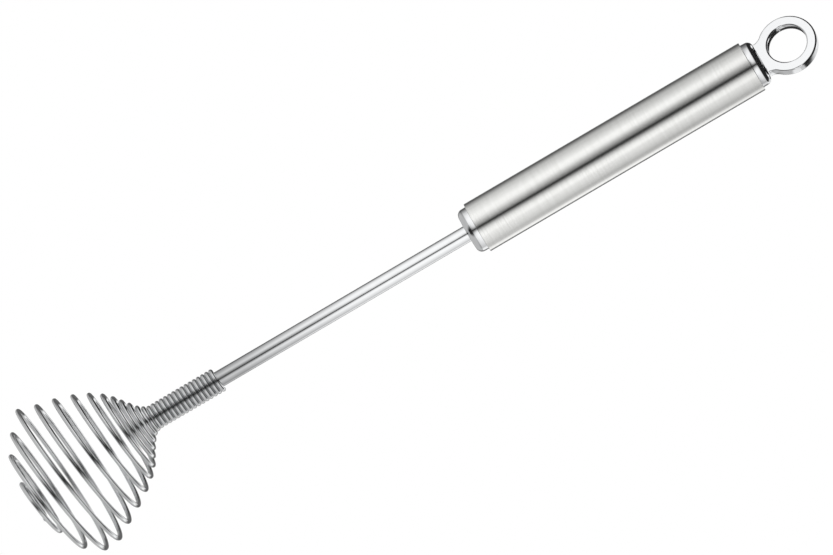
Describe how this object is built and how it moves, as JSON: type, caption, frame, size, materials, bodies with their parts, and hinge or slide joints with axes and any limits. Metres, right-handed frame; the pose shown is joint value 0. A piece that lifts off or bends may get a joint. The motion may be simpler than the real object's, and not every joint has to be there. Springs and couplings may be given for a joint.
{
  "type": "spiral whisk",
  "caption": "Steel hand whisk: a tube handle with a flat hanging eye, a straight shaft, and a springy wire wound on the shaft and out into a round bell for beating sauces.",
  "frame": {"origin": "centre of the hanging eye's hole, in the middle of the plate's thickness", "axes": "+Z runs along the tool from the wire bell up to the eye, and Y is square to the eye's flat faces"},
  "size_m": [0.0491, 0.0493, 0.2708],
  "materials": {
    "brushed_steel": "satin, brushed round the tube",
    "polished_steel": "polished bright",
    "spring_wire": "drawn and polished bright",
    "weld_steel": "as welded, dull"
  },
  "bodies": {
    "handle": {"handle_tube": "brushed_steel", "front_cap": "polished_steel", "rear_cap": "polished_steel", "hanging_eye": "polished_steel", "eye_weld": "weld_steel", "shaft": "polished_steel", "shaft_weld": "weld_steel"},
    "spiral": {"whisk_spiral": "spring_wire"}
  },
  "joints": [
    {"name": "spiral_press", "type": "slide", "parent": "handle", "child": "spiral", "axis": [0, 0, 1], "range_m": [-0.006, 0.015], "stiffness_N_per_m": 70, "springref_m": 0.0019, "deforming": ["whisk_spiral"]}
  ]
}
